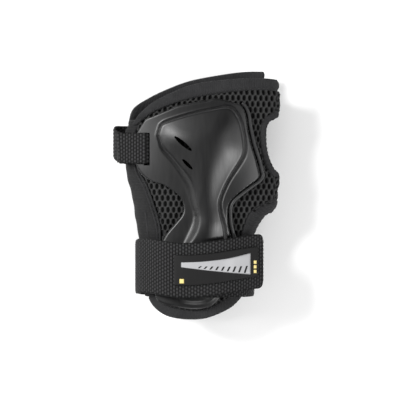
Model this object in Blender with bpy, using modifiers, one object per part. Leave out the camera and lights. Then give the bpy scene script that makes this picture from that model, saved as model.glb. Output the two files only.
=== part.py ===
"""Skating and snowboarding wrist guard for a left hand, size medium.

It lies on its palm side: +Z points out of the back of the hand, +Y to the fingers and +X to
the thumb. The origin is under the middle of the guard, on the surface it rests on.
Sizes are in millimetres, and each mesh is written in metres.

The glove is a flattened tube. Every piece on it is laid out in plan, between smooth edge
curves, and takes its height from the tube's arch, from the shell over it or from both.
"""

import math

import bmesh
import bpy
import numpy as np
from mathutils import Matrix

MM = 0.001

# Overall sizes. The edge curves below are drawn on a DRAWN_WIDTH by DRAWN_LENGTH sheet.
GUARD_WIDTH = 117.0
GUARD_LENGTH = 173.0
DRAWN_WIDTH = 117.0
DRAWN_LENGTH = 173.0
DORSAL_RISE = 21.0  # from the side seams up to the crown of the back of the glove
PALM_DEPTH = 22.0  # from the side seams down to the lowest line of the palm fabric
ARCH_POWER = 2.3  # 2 is an ellipse, and more is squarer

# Thicknesses
FABRIC = 3.0  # foam-backed fabric
BINDING = 3.6
FOAM = 4.0
SHELL = 2.5
WEBBING = 1.6
TAPE = 0.9  # hook tape and loop tape
BADGE = 0.7

# Gaps between neighbours
GAP = 0.4  # between two layers, measured along Z
SEAM_GAP = 0.5  # between two panels that meet edge to edge
SHELL_STANDOFF = 1.6  # between the fabric and the shell on it
SLOPE_ROOM = 1.0  # the palm slopes down towards the cuff, and a level strap goes under it
RING_ROOM = 1.2  # from the side of the glove to the wrist strap

# Hard shells
SHELL_SPREAD_ULNAR = 11.0  # how much wider the shell's arch is than the glove's, by side
SHELL_SPREAD_THUMB = 3.0
DOME_STEP = 4.2
DOME_RAMP = 2.6
DOME_CROWN = 4.6
DOME_CROWN_REACH = 13.0
STEP_BLUR = (0.8,)  # the dome's edges and its crown are rounded over rings this far round
CROWN_BLUR = (3.0, 6.0)
SKID_DEPTH = 7.2
SKID_RADIUS = 27.0
PALM_RIB = 1.5
PIPING_RADIUS = 1.0

# Straps
WRIST_STRAP_WIDTH = 38.0
WRIST_STRAP_Y = -52.0
HAND_STRAP_WIDTH = 21.5
HAND_STRAP_Y = 32.0
SLOT_WIDTH = 4.2
SLOT_SPARE = 1.2  # how much longer the slot is than the strap is wide
SLOT_X = -34.5
SLOT_BAR = 9.5  # how wide the bar of shell is, from the middle of the slot to its outer edge
FLAP_OVERHANG = 10.6  # how far the hand strap's free end reaches past that bar
PALM_END_SHIFT = 6.3  # the hand strap leaves the palm this much nearer the fingers
HAND_LOOP = [(3.5, -12.0), (-3.5, -8.0), (-7.5, 0.0), (-6.0, 7.5), (-1.0, 11.5)]  # from the side

# Edge curves in plan, on the drawn sheet
TUBE_ULNAR = [(-90, -34), (-72, -36), (-50, -39.5), (-28, -40.8), (-12, -43.2), (4.5, -46.3),
              (18.7, -49.3), (35, -49.5), (60, -49.5), (90, -49.5)]
TUBE_THUMB = [(-90, 33), (-72, 35), (-50, 37), (-28, 41.5), (-18, 46.5), (-11, 54),
              (-3, 58.5), (6, 59), (60, 59), (90, 59.2)]
SEAM_DORSAL = [(-29, -71.5), (-28.5, -60), (-26.5, -45), (-25, -29), (-26.6, -17.5),
               (-30.3, -5.5), (-32.7, 1.5), (-35.6, 8.5), (-39.5, 16), (-42, 26), (-42.8, 38),
               (-41.5, 49.5)]
SEAM_PALM = [(-28, -71.5), (-29, -55), (-29, -35), (-31, -15), (-36, 2), (-40, 16), (-42, 30),
             (-42, 42), (-41, 50.5)]
FINGER_OUTER_DORSAL = [(-45.6, 49.5), (-39.8, 57), (-30.7, 64.7), (-17.7, 71.2), (-4.8, 76.3),
                       (8.2, 78.9), (27.5, 80.9), (46.9, 81.6), (57.8, 81)]
FINGER_INNER_DORSAL = [(-41.5, 49.5), (-35.8, 54.2), (-27, 59.5), (-12.1, 65.2), (-3.6, 67.5),
                       (9, 70), (27.5, 72.6), (44, 73.8), (58, 73.6)]
FINGER_OUTER_PALM = [(-46.4, 50.5), (-42.6, 61.2), (-34, 68.5), (-20.7, 75), (-5, 80.8),
                     (14.6, 84.7), (34.1, 87.2), (49, 87.2)]
FINGER_INNER_PALM = [(-41, 50.5), (-36, 57.5), (-29, 62.8), (-17.5, 68.4), (-3.5, 73.6),
                     (15, 77.5), (33.5, 80.3), (47.5, 80.2)]
CUFF_OUTER = [(-33.3, -71.5), (-30.8, -75.8), (-26.7, -80.3), (-20.3, -84.4), (-12.1, -86.4),
              (-2.3, -86.9), (5.8, -86.3), (12.8, -84), (18.7, -81.1), (24.4, -77.4),
              (31, -71.5)]
CUFF_INNER = [(-29, -71.5), (-26, -76), (-18, -80.3), (-8, -82.2), (0, -82.4), (8, -81.2),
              (16, -77.8), (22, -74.3), (26.5, -71.5)]
THUMB_SIDE_DORSAL = [(25.5, -71.5), (28.5, -60), (30, -45), (32.5, -28), (34.7, -20),
                     (37.4, -13.6), (42, -8.8), (49, -5.6), (54.5, -3), (56.2, 1), (56.2, 11),
                     (51.6, 16), (47.6, 24), (45.3, 34), (45.3, 47), (48.6, 54), (56, 59.5),
                     (58, 73.6)]
THUMB_SIDE_PALM = [(25.5, -71.5), (28.5, -60), (30, -45), (32.5, -28), (34.2, -20),
                   (36.6, -13.6), (40.5, -8.8), (46.5, -5.6), (51.5, -3), (53.4, 1), (53.4, 11),
                   (49.6, 16), (46.6, 24), (45.3, 34), (45.3, 46), (47.6, 53), (50.6, 59),
                   (47.5, 80.2)]
SLIT_EDGE = [(29.5, -71.5), (34, -60), (35.5, -45), (39, -28), (43, -19), (48, -12.8),
             (53.6, -9.6), (55.8, -7.8)]
SHELL_ULNAR = [(-28.4, -71.6), (-30, -62), (-28.5, -45), (-22.9, -30.1), (-19.3, -24.4),
               (-14.3, -18.7), (-10, -13), (-9.3, -7.9), (-12.1, -0.8), (-22.9, 7),
               (-32.2, 9.9), (-38.4, 14.2), (-42.6, 21), (-44, 31), (-42.5, 41.5),
               (-35.7, 52.7)]
SHELL_THUMB = [(19.8, -71), (28, -60), (30, -45), (27.8, -30.7), (25.4, -20), (25, -10.8),
               (26.4, -5.8), (30.7, -1.5), (39.2, 4.9), (45, 9.2), (47.6, 13.4), (47.1, 16.3),
               (45, 24.9), (41.4, 36.3), (39.2, 46.3), (37.8, 55.6), (35.7, 61.3),
               (32.9, 64.9)]
SHELL_FINGER = [(-35.7, 52.7), (-29.3, 55.6), (-19.3, 59.9), (-12.1, 62.8), (-3.6, 64.5),
                (7.1, 66.3), (14.2, 67.7), (22.2, 68.8), (28.5, 67.7), (32.9, 64.9)]
SHELL_CUFF = [(-28.4, -71.6), (-26.1, -75), (-19.7, -77.4), (-7, -79.7), (1.2, -80),
              (7, -79), (11.7, -76.8), (16.3, -73.6), (19.8, -71)]
DOME = [(-28.2, 42), (-25.7, 49.9), (-22.2, 52), (-3.6, 57.7), (17.8, 62.1), (22.2, 62.4),
        (26.4, 60.6), (30, 55.6), (32.9, 48.5), (35, 36), (35, 29.2), (32.1, 22.7),
        (23.6, 9.2), (18.2, -3.7), (18.2, -10.8), (21.4, -26.5), (20, -55), (10, -74),
        (-12, -74), (-17, -55), (-8, -30.7), (-2.1, -15.9), (-5, -4), (-10, 10),
        (-17.9, 23.5), (-25, 32)]
PALM_SHELL_ULNAR = [(-19, -74), (-24, -60), (-22, -40), (-15, -22), (-13, -10), (-17, 0),
                    (-27, 10), (-31, 24), (-30, 38), (-23, 50)]
PALM_SHELL_THUMB = [(17, -74), (23, -60), (22, -40), (18, -22), (17, -10), (21, 0), (32, 9),
                    (37, 22), (36, 38), (29, 50)]
PALM_SHELL_FINGER = [(-23, 50), (-12, 56), (4, 58.5), (20, 56), (29, 50)]
PALM_SHELL_CUFF = [(-19, -74), (-10, -78), (-1, -79), (8, -78), (17, -74)]
FOAM_ULNAR = [(-19, -66), (-20, -50), (-13, -20), (-15, 0), (-27, 18), (-28, 44)]
FOAM_THUMB = [(17, -66), (20, -50), (18, -20), (20, 0), (32, 16), (32, 50)]
FOAM_FINGER = [(-28, 44), (-12, 54), (10, 58), (32, 50)]
FOAM_CUFF = [(-19, -66), (-1, -70), (17, -66)]
WAIST = (-8, 4)
FACET = (-4, -25)
SKID_CENTRE = (3, 27)
VENTS = [((-9.1, 35.6), -40.0, 15.5, 3.0), ((-6.1, 21.3), -45.0, 10.0, 2.3)]

# Colours, as linear RGB, with roughness
MATERIALS = {
    "shell_plastic": ((0.030, 0.030, 0.031), 0.38),
    "mesh_fabric": ((0.012, 0.012, 0.012), 0.90),
    "side_fabric": ((0.020, 0.020, 0.020), 0.85),
    "palm_fabric": ((0.022, 0.022, 0.022), 0.85),
    "binding": ((0.026, 0.026, 0.027), 0.75),
    "foam": ((0.050, 0.050, 0.052), 0.95),
    "webbing": ((0.018, 0.018, 0.018), 0.70),
    "hook_and_loop": ((0.010, 0.010, 0.010), 0.95),
    "badge": ((0.024, 0.023, 0.024), 0.60),
}

parts = bpy.data.collections.new("wrist_guard")
cutters = bpy.data.collections.new("cutters")


def sheet(points):
    """Points of the drawn sheet at the guard's own size."""
    return np.asarray(points, float) * (GUARD_WIDTH / DRAWN_WIDTH, GUARD_LENGTH / DRAWN_LENGTH)


def along(points, fractions):
    """Places on the smooth curve through points, at these fractions of its length."""
    p = np.asarray(points, float)
    ends = np.vstack([2 * p[0] - p[1], p, 2 * p[-1] - p[-2]])
    fine = [p[0]]
    for a, b, c, d in zip(ends, ends[1:], ends[2:], ends[3:]):
        for t in np.linspace(0, 1, 13)[1:]:
            fine.append(0.5 * (2 * b + (c - a) * t + (2 * a - 5 * b + 4 * c - d) * t**2
                               + (3 * b - a - 3 * c + d) * t**3))
    fine = np.array(fine)
    length = np.r_[0, np.cumsum(np.linalg.norm(np.diff(fine, axis=0), axis=1))]
    at = np.asarray(fractions) * length[-1]
    return np.column_stack([np.interp(at, length, fine[:, k]) for k in range(p.shape[1])])


def even(count):
    return np.linspace(0, 1, count + 1)


def rounded(count):
    """Fractions that crowd towards both ends, where the tube turns down at its sides."""
    return (1 - np.cos(np.pi * even(count))) / 2


def inset(curve, distance):
    """The curve moved sideways, to the left of its direction for a positive distance."""
    step = np.gradient(curve, axis=0)
    step /= np.linalg.norm(step, axis=1)[:, None]
    return curve + distance * np.column_stack([-step[:, 1], step[:, 0]])


def at_y(pairs):
    """A function of y through (y, value) pairs of the drawn sheet; the values are x."""
    y, x = along(sheet([(x, y) for y, x in pairs]), even(120)).T[::-1]
    return lambda where: np.interp(where, y, x)


tube_ulnar = at_y(TUBE_ULNAR)
tube_thumb = at_y(TUBE_THUMB)
strap_y, hand_y = sheet([(0, WRIST_STRAP_Y), (0, SKID_CENTRE[1])])[:, 1]
WRIST_AXIS = PALM_DEPTH + SHELL_STANDOFF + SHELL + PALM_RIB + GAP + WEBBING + SLOPE_ROOM
HAND_AXIS = PALM_DEPTH + SHELL_STANDOFF + SHELL + SKID_DEPTH


def tube(y):
    """Middle x, half width and side-seam height of the glove at y."""
    low, high = tube_ulnar(y), tube_thumb(y)
    rise = (y - strap_y) / (hand_y - strap_y)
    return (low + high) / 2, (high - low) / 2, WRIST_AXIS + rise * (HAND_AXIS - WRIST_AXIS)


def arch(t):
    return (1 - np.clip(np.abs(t), 0, 1) ** ARCH_POWER) ** (1 / ARCH_POWER)


def dorsal_z(x, y):
    """Height of the outer face of the fabric on the back of the hand."""
    middle, half, axis = tube(y)
    return axis + DORSAL_RISE * arch((x - middle) / half)


def palm_z(x, y):
    """Height of the outer face of the palm fabric."""
    middle, half, axis = tube(y)
    return axis - PALM_DEPTH * arch((x - middle) / half)


def inside_by(x, y, outline):
    """How far inside a closed outline each place is, and 0 outside."""
    a = outline
    b = np.roll(a, -1, axis=0)
    p = np.stack([x, y], -1)[..., None, :]
    along_edge = b - a
    t = np.clip(((p - a) * along_edge).sum(-1) / (along_edge**2).sum(-1), 0, 1)
    distance = np.linalg.norm(p - a - t[..., None] * along_edge, axis=-1).min(-1)
    crosses = (a[:, 1] > p[..., 1]) != (b[:, 1] > p[..., 1])
    run = (b[:, 0] - a[:, 0]) * (p[..., 1] - a[:, 1]) / np.where(along_edge[:, 1], along_edge[:, 1], 1)
    odd = (crosses & (p[..., 0] < a[:, 0] + run)).sum(-1) % 2
    return np.where(odd, distance, 0)


def ease(t):
    t = np.clip(t, 0, 1)
    return t * t * (3 - 2 * t)


dome_outline = along(sheet(DOME + DOME[:1]), even(90))[:-1]


def near(x, y, centre, reach):
    return np.exp(-((x - centre[0]) ** 2 + (y - centre[1]) ** 2) / reach**2)


def dome_step(x, y):
    """The dome's steep border, which softens at the waist and widens to a facet by the wrist."""
    ramp = DOME_RAMP * (1 + 2.2 * near(x, y, WAIST, 15) + 1.9 * near(x, y, FACET, 11))
    return DOME_STEP * ease(inside_by(x, y, dome_outline) / ramp)


def dome_crown(x, y):
    return DOME_CROWN * (1 - np.exp(-((inside_by(x, y, dome_outline) / DOME_CROWN_REACH) ** 2)))


def blurred(height, x, y, radii):
    """The mean of a height over rings of places round each one."""
    turns = np.radians(np.arange(0, 360, 45))
    rings = [height(x + r * np.cos(t), y + r * np.sin(t)) for r in radii for t in turns]
    return (2 * height(x, y) + sum(rings)) / (2 + len(rings))


def shell_z(x, y):
    """Height of the outer face of the dorsal shell: a wide arch with an hourglass dome on it."""
    middle, half, axis = tube(y)
    spread = np.where(x < middle, SHELL_SPREAD_ULNAR, SHELL_SPREAD_THUMB)
    base = axis + (DORSAL_RISE + SHELL_STANDOFF + SHELL) * arch((x - middle) / (half + spread))
    rise = blurred(dome_step, x, y, STEP_BLUR) + blurred(dome_crown, x, y, CROWN_BLUR)
    return base + rise * (1 - 0.62 * ease((strap_y + 34 - y) / 30))


def palm_shell_z(x, y):
    """Height of the outer face of the palm shell, with its skid flattened where it rests."""
    middle, half, axis = tube(y)
    base = axis - (PALM_DEPTH + SHELL_STANDOFF + SHELL) * arch((x - middle) / (half + 6))
    centre = sheet([SKID_CENTRE])[0]
    away = np.hypot(x - centre[0], y - centre[1]) / SKID_RADIUS
    skid = (SKID_DEPTH + 2.0) * ease(1.25 - 1.1 * away)
    rib = PALM_RIB * ease(1.4 - np.abs(x - middle) / 11)
    return np.maximum(base - np.maximum(skid, rib), 0)


def new_object(name, mesh, slot):
    obj = bpy.data.objects.new(name, mesh)
    parts.objects.link(obj)
    obj.data.materials.append(bpy.data.materials[slot])
    return obj


def grid_mesh(name, points):
    """A sheet of faces through a grid of points, with its normals towards +Z where it is flat."""
    rows, columns = points.shape[:2]
    bm = bmesh.new()
    bmesh.ops.create_grid(bm, x_segments=columns - 1, y_segments=rows - 1, size=1)
    for vert, place in zip(bm.verts, points.reshape(-1, 3)):
        vert.co = place * MM
    mesh = bpy.data.meshes.new(name)
    bm.to_mesh(mesh)
    bm.free()
    return mesh


def thicken(obj, thickness, outward):
    """Gives a sheet its thickness: outward along its normals, or inward from them."""
    solid = obj.modifiers.new("thickness", "SOLIDIFY")
    solid.thickness = thickness * MM
    solid.offset = 1 if outward else -1
    solid.use_even_offset = True
    return obj


def plan_patch(left, right, bottom, top, across, upward):
    """Places inside four edge curves, a Coons patch: rows run from left to right."""
    u = across[None, :, None]
    v = even(upward)[:, None, None]
    sides = (1 - u) * along(left, even(upward))[:, None] + u * along(right, even(upward))[:, None]
    low, high = along(bottom, across), along(top, across)
    ends = (1 - v) * low[None] + v * high[None]
    corners = ((1 - v) * ((1 - u) * low[0] + u * low[-1])
               + v * ((1 - u) * high[0] + u * high[-1]))
    return sides + ends - corners


def lay(name, slot, plan, height, thickness, outward=False):
    """A sheet over a plan, with its face at the given height and its thickness on one side."""
    z = height(plan[..., 0], plan[..., 1])
    points = np.dstack([plan, z])
    return thicken(new_object(name, grid_mesh(name, points), slot), thickness, outward)


def band(name, slot, outer, inner, height, thickness, lengthwise, outward=False):
    """A narrow sheet between two long edges."""
    plan = plan_patch(outer, inner, [outer[0], inner[0]], [outer[-1], inner[-1]], even(2), lengthwise)
    return lay(name, slot, plan, height, thickness, outward)


def turn_at(x, y):
    """How far round the glove's arch a place is, from 0 at its side seam to half pi at the top."""
    middle, half, axis = tube(y)
    return np.arccos(np.clip(np.abs(x - middle) / half, 0, 1) ** (ARCH_POWER / 2))


def side_sheet(name, slot, first, last, side, thickness, around, lengthwise, faces=(1, -1)):
    """A sheet round one side of the glove, between two long edges.

    Each edge lies on the back of the hand where its face is 1, and on the palm where it is -1.
    """
    a, b = along(first, even(lengthwise))[:, None], along(last, even(lengthwise))[:, None]
    share = even(around)[None]
    turn_a, turn_b = faces[0] * turn_at(*a.T).T, faces[1] * turn_at(*b.T).T
    turn = turn_a + share * (turn_b - turn_a)
    y = a[..., 1] + share * (b[..., 1] - a[..., 1])
    middle, half, axis = tube(y)
    x = middle + side * half * np.cos(turn) ** (2 / ARCH_POWER)
    rise = np.abs(np.sin(turn)) ** (2 / ARCH_POWER)
    z = axis + np.where(turn > 0, DORSAL_RISE, -PALM_DEPTH) * rise
    points = np.dstack([x, y, z])
    if (side < 0) != (faces == (-1, -1)):
        points = points[:, ::-1]
    return thicken(new_object(name, grid_mesh(name, points), slot), thickness, False)


def tube_along(name, slot, places, radius, sides):
    """A round cord along places, closed at its ends."""
    curve = bpy.data.curves.new(name, "CURVE")
    curve.dimensions = "3D"
    curve.bevel_depth = radius * MM
    curve.bevel_resolution = sides
    curve.use_fill_caps = True
    spline = curve.splines.new("POLY")
    spline.points.add(len(places) - 1)
    for point, place in zip(spline.points, places):
        point.co = (*(np.asarray(place) * MM), 1)
    obj = bpy.data.objects.new(name, curve)
    parts.objects.link(obj)
    curve.materials.append(bpy.data.materials[slot])
    return obj


def ribbon(name, slot, path, middle_y, width, thickness, across=2):
    """A flat strap with its width along Y.

    Its path is (x, z) along the face nearer the hand, in the direction that is +X over the top.
    """
    middle_y = np.broadcast_to(middle_y, len(path))
    offsets = (even(across) - 0.5) * width
    points = np.array([[(x, y + offset, z) for offset in offsets]
                       for (x, z), y in zip(path[::-1], middle_y[::-1])])
    return thicken(new_object(name, grid_mesh(name, points), slot), thickness, True)


def ring(degrees, offset):
    """The wrist strap's path round the cuff, as (x, z), at this distance out from the glove."""
    turn = np.radians(np.asarray(degrees, float))
    c, s = np.cos(turn), np.sin(turn)
    power = 2 / RING_POWER
    depth = np.where(s > 0, RING_RISE, RING_DEPTH) + offset
    x = ring_middle + (ring_half + offset) * np.sign(c) * np.abs(c) ** power
    return np.column_stack([x, ring_axis + depth * np.sign(s) * np.abs(s) ** power])


RING_POWER = 2.4
ring_axis = tube(strap_y)[2]
ring_low = tube_ulnar(strap_y + WRIST_STRAP_WIDTH / 2) - RING_ROOM
ring_high = tube_thumb(strap_y + WRIST_STRAP_WIDTH / 4) + RING_ROOM
ring_middle = (ring_low + ring_high) / 2
ring_half = (ring_high - ring_low) / 2
strap_band = np.meshgrid(np.linspace(-20, 20, 21),
                         strap_y + (even(8) - 0.5) * WRIST_STRAP_WIDTH)
RING_RISE = shell_z(*strap_band).max() + GAP - ring_axis
RING_DEPTH = ring_axis - WEBBING


def add_materials():
    for slot, (colour, roughness) in MATERIALS.items():
        material = bpy.data.materials.new(slot)
        material.use_nodes = True
        surface = material.node_tree.nodes["Principled BSDF"]
        surface.inputs["Base Color"].default_value = (*colour, 1)
        surface.inputs["Roughness"].default_value = roughness


def cut(obj, cutter):
    """Cuts a box or an oval prism out of a shell."""
    cutter.hide_render = True
    cutter.display_type = "WIRE"
    boolean = obj.modifiers.new(cutter.name, "BOOLEAN")
    boolean.operation = "DIFFERENCE"
    boolean.object = cutter


def prism(name, centre, length, width, height, turn, corners):
    """An upright cutter: a box with 4 corners, or an oval slot with more."""
    bm = bmesh.new()
    bmesh.ops.create_cone(bm, cap_ends=True, segments=corners, radius1=0.5, radius2=0.5, depth=1)
    if corners == 4:
        bmesh.ops.rotate(bm, verts=bm.verts, matrix=rotation(45))
        bmesh.ops.scale(bm, verts=bm.verts, vec=(math.sqrt(2), math.sqrt(2), 1))
    bmesh.ops.scale(bm, verts=bm.verts, vec=(length * MM, width * MM, height * MM))
    bmesh.ops.rotate(bm, verts=bm.verts, matrix=rotation(turn))
    bmesh.ops.translate(bm, verts=bm.verts, vec=[c * MM for c in centre])
    mesh = bpy.data.meshes.new(name)
    bm.to_mesh(mesh)
    bm.free()
    obj = bpy.data.objects.new(name, mesh)
    cutters.objects.link(obj)
    return obj


def rotation(degrees):
    return Matrix.Rotation(math.radians(degrees), 3, "Z")


def build_dorsal_side():
    """The mesh on the back of the hand, its bindings and the foam under it."""
    left = inset(along(sheet(SEAM_DORSAL), even(24)), -SEAM_GAP / 2)
    bottom = inset(along(sheet(CUFF_INNER), even(16)), SEAM_GAP / 2)
    top = inset(along(sheet(FINGER_INNER_DORSAL), even(16)), -SEAM_GAP / 2)
    right = along(sheet(THUMB_SIDE_DORSAL), even(24))
    plan = joined_patch(left, right, bottom, top, rounded(13), 20)
    lay("dorsal_mesh_panel", "mesh_fabric", plan, dorsal_z, FABRIC)
    proud = (BINDING - FABRIC) / 2
    band("finger_binding_dorsal", "binding",
         sheet(FINGER_OUTER_DORSAL), inset(along(sheet(FINGER_INNER_DORSAL), even(16)), SEAM_GAP / 2),
         lambda x, y: dorsal_z(x, y) + proud, BINDING, 20)
    band("cuff_binding_dorsal", "binding",
         sheet(CUFF_OUTER)[::-1], inset(along(sheet(CUFF_INNER), even(16)), -SEAM_GAP / 2)[::-1],
         lambda x, y: dorsal_z(x, y) + proud, BINDING, 18)
    pad = plan_patch(sheet(FOAM_ULNAR), sheet(FOAM_THUMB), sheet(FOAM_CUFF), sheet(FOAM_FINGER),
                     even(8), 12)
    lay("dorsal_foam_pad", "foam", pad, lambda x, y: dorsal_z(x, y) - FABRIC - 2 * GAP, FOAM)


def joined_patch(left, right, bottom, top, across, upward):
    """A patch whose four edge curves were moved, so their ends are first brought together."""
    bottom, top = bottom.copy(), top.copy()
    bottom[0], bottom[-1] = left[0], right[0]
    top[0], top[-1] = left[-1], right[-1]
    return plan_patch(left, right, bottom, top, across, upward)


def build_palm_side():
    """The palm fabric, its bindings and the foam over it."""
    left = inset(along(sheet(SEAM_PALM), even(24)), -SEAM_GAP / 2)
    bottom = inset(along(sheet(CUFF_INNER), even(16)), SEAM_GAP / 2)
    top = inset(along(sheet(FINGER_INNER_PALM), even(16)), -SEAM_GAP / 2)
    right = along(sheet(THUMB_SIDE_PALM), even(24))
    plan = joined_patch(left, right, bottom, top, rounded(13), 20)
    lay("palm_panel", "palm_fabric", plan, palm_z, FABRIC, outward=True)
    proud = (BINDING - FABRIC) / 2
    band("finger_binding_palm", "binding",
         sheet(FINGER_OUTER_PALM), inset(along(sheet(FINGER_INNER_PALM), even(16)), SEAM_GAP / 2),
         lambda x, y: palm_z(x, y) - proud, BINDING, 20, outward=True)
    band("cuff_binding_palm", "binding",
         sheet(CUFF_OUTER)[::-1], inset(along(sheet(CUFF_INNER), even(16)), -SEAM_GAP / 2)[::-1],
         lambda x, y: palm_z(x, y) - proud, BINDING, 18, outward=True)
    pad = plan_patch(sheet(FOAM_ULNAR), sheet(FOAM_THUMB), sheet(FOAM_CUFF), sheet(FOAM_FINGER),
                     even(8), 12)
    lay("palm_foam_pad", "foam", pad, lambda x, y: palm_z(x, y) + FABRIC + 2 * GAP, FOAM,
        outward=True)


def stretch(curve, low, high):
    """The part of an edge curve between two y values of the drawn sheet."""
    fine = along(sheet(curve), even(240))
    y_low, y_high = sheet([(0, low), (0, high)])[:, 1]
    return fine[(fine[:, 1] > y_low) & (fine[:, 1] < y_high)]


def build_sides():
    """The fabric that joins back and palm: the little-finger side, and two bridges by the thumb."""
    side_sheet("ulnar_side_panel", "side_fabric",
               inset(along(sheet(SEAM_DORSAL), 0.006 + even(24) * 0.979), SEAM_GAP / 2),
               inset(along(sheet(SEAM_PALM), 0.006 + even(24) * 0.979), SEAM_GAP / 2),
               -1, FABRIC, 9, 18)
    for name, low, high in (("thumb_gusset", 0.8, 11.0), ("index_web_gusset", 60.5, 73.0)):
        edges = [stretch(curve, low, high) + (SEAM_GAP + 0.4, 0)
                 for curve in (THUMB_SIDE_DORSAL, THUMB_SIDE_PALM)]
        side_sheet(name, "mesh_fabric", *edges, 1, FABRIC, 6, 4)


def build_thumb_bindings():
    """The rolled edges of the thumb hole, and the flat ones of the wrist slit below it."""
    radius = BINDING / 2
    outer = sheet(SLIT_EDGE)
    for where, face, curve, height in (
        ("dorsal", 1, THUMB_SIDE_DORSAL, dorsal_z), ("palm", -1, THUMB_SIDE_PALM, palm_z)
    ):
        keep = stretch(curve, 15.5, 56.5)
        path = inset(along(keep, even(16)), -(radius + SEAM_GAP + 0.5))
        z = height(path[:, 0], path[:, 1]) - face * FABRIC / 2
        tube_along(f"thumb_hole_binding_{where}", "binding", np.column_stack([path, z]), radius, 1)
        inner = inset(along(stretch(curve, -71.4, -2.0), even(24)), -2.5 * SEAM_GAP)
        side_sheet(f"wrist_slit_binding_{where}", "binding", inner, outer, 1, BINDING, 3, 18,
                   faces=(face, face))


def build_shells():
    """The two hard shells and the piping sewn along the thumb side of the dorsal one."""
    rim = along(sheet(SHELL_THUMB), even(60))
    edge = inset(rim, 2 * PIPING_RADIUS + SEAM_GAP)
    top = sheet(SHELL_FINGER)
    top = np.vstack([top[:-3], edge[-1:]])
    bottom = sheet(SHELL_CUFF)
    bottom = np.vstack([bottom[:-2], edge[:1]])
    plan = plan_patch(sheet(SHELL_ULNAR), edge, bottom, top, even(22), 34)
    shell = lay("dorsal_shell", "shell_plastic", plan, shell_z, SHELL)
    slot_y = sheet([(0, HAND_STRAP_Y)])[0, 1]
    slot_z = shell_z(np.array(slot_x), np.array(slot_y))
    cut(shell, prism("strap_slot", (slot_x, slot_y, slot_z), SLOT_WIDTH,
                     HAND_STRAP_WIDTH + SLOT_SPARE, 8 * SHELL, 0, 4))
    for number, (centre, turn, length, width) in enumerate(VENTS, 1):
        x, y = sheet([centre])[0]
        z = shell_z(np.array(x), np.array(y))
        cut(shell, prism(f"vent_{number}", (x, y, z), length, width, 8 * SHELL, turn, 16))
    path = inset(rim, PIPING_RADIUS)
    z = shell_z(path[:, 0], path[:, 1]) - SHELL / 2
    tube_along("dorsal_shell_piping", "binding", np.column_stack([path, z]), PIPING_RADIUS, 1)
    plan = plan_patch(sheet(PALM_SHELL_ULNAR), sheet(PALM_SHELL_THUMB), sheet(PALM_SHELL_CUFF),
                      sheet(PALM_SHELL_FINGER), even(20), 26)
    lay("palm_shell", "shell_plastic", plan, palm_shell_z, SHELL, outward=True)


slot_x = sheet([(SLOT_X, 0)])[0, 0]
JUNCTION_LOW, JUNCTION_HIGH = 212.0, 148.0
LAYERS = WEBBING + 3 * GAP + 2 * TAPE


def build_wrist_strap():
    """One length of webbing, in three pieces where it bends, with its tapes and badge."""
    gap_turn = 0.5
    base = ring(np.linspace(86, -148 + gap_turn, 34), 0)
    ribbon("wrist_strap_base", "webbing", base, strap_y, WRIST_STRAP_WIDTH, WEBBING)
    side = ring(np.linspace(JUNCTION_LOW - gap_turn, JUNCTION_HIGH + gap_turn, 11), 0)
    shift = 3.0 * ease(even(10))
    ribbon("wrist_strap_side", "webbing", side, strap_y + shift, WRIST_STRAP_WIDTH, WEBBING)
    turns = np.linspace(JUNCTION_HIGH - gap_turn, 55, 20)
    lift = LAYERS * ease((JUNCTION_HIGH - turns) / (JUNCTION_HIGH - 95))
    tab = np.vstack([ring([turn], offset) for turn, offset in zip(turns, lift)])
    slope = (tab[-1] - tab[-2]) / np.linalg.norm(tab[-1] - tab[-2])
    tab = np.vstack([tab] + [tab[-1:] + slope * step for step in (7.0, 14.0, 21.0)])
    tilt = strap_y + 3.0 - 3.0 * ease((tab[:, 0] + 36) / 26) + 6.5 * ease((tab[:, 0] + 8) / 62)
    ribbon("wrist_strap_tab", "webbing", tab, tilt, WRIST_STRAP_WIDTH, WEBBING)
    badge = offset_path(tab, WEBBING + GAP)
    keep = (badge[:, 0] > -17)
    ribbon("wrist_strap_badge", "badge", badge[keep][:-1], tilt[keep][:-1], 22.0, BADGE)
    tape = np.linspace(84, 52, 9)
    ribbon("wrist_loop_tape", "hook_and_loop", ring(tape, WEBBING + GAP), strap_y, 30.0, TAPE)
    ribbon("wrist_hook_tape", "hook_and_loop", ring(tape, WEBBING + 2 * GAP + TAPE),
           strap_y + 1.0, 30.0, TAPE)


def offset_path(path, distance):
    """A path moved out from the hand, along its own normals."""
    step = np.gradient(path, axis=0)
    step /= np.linalg.norm(step, axis=1)[:, None]
    return path + distance * np.column_stack([-step[:, 1], step[:, 0]])


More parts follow.
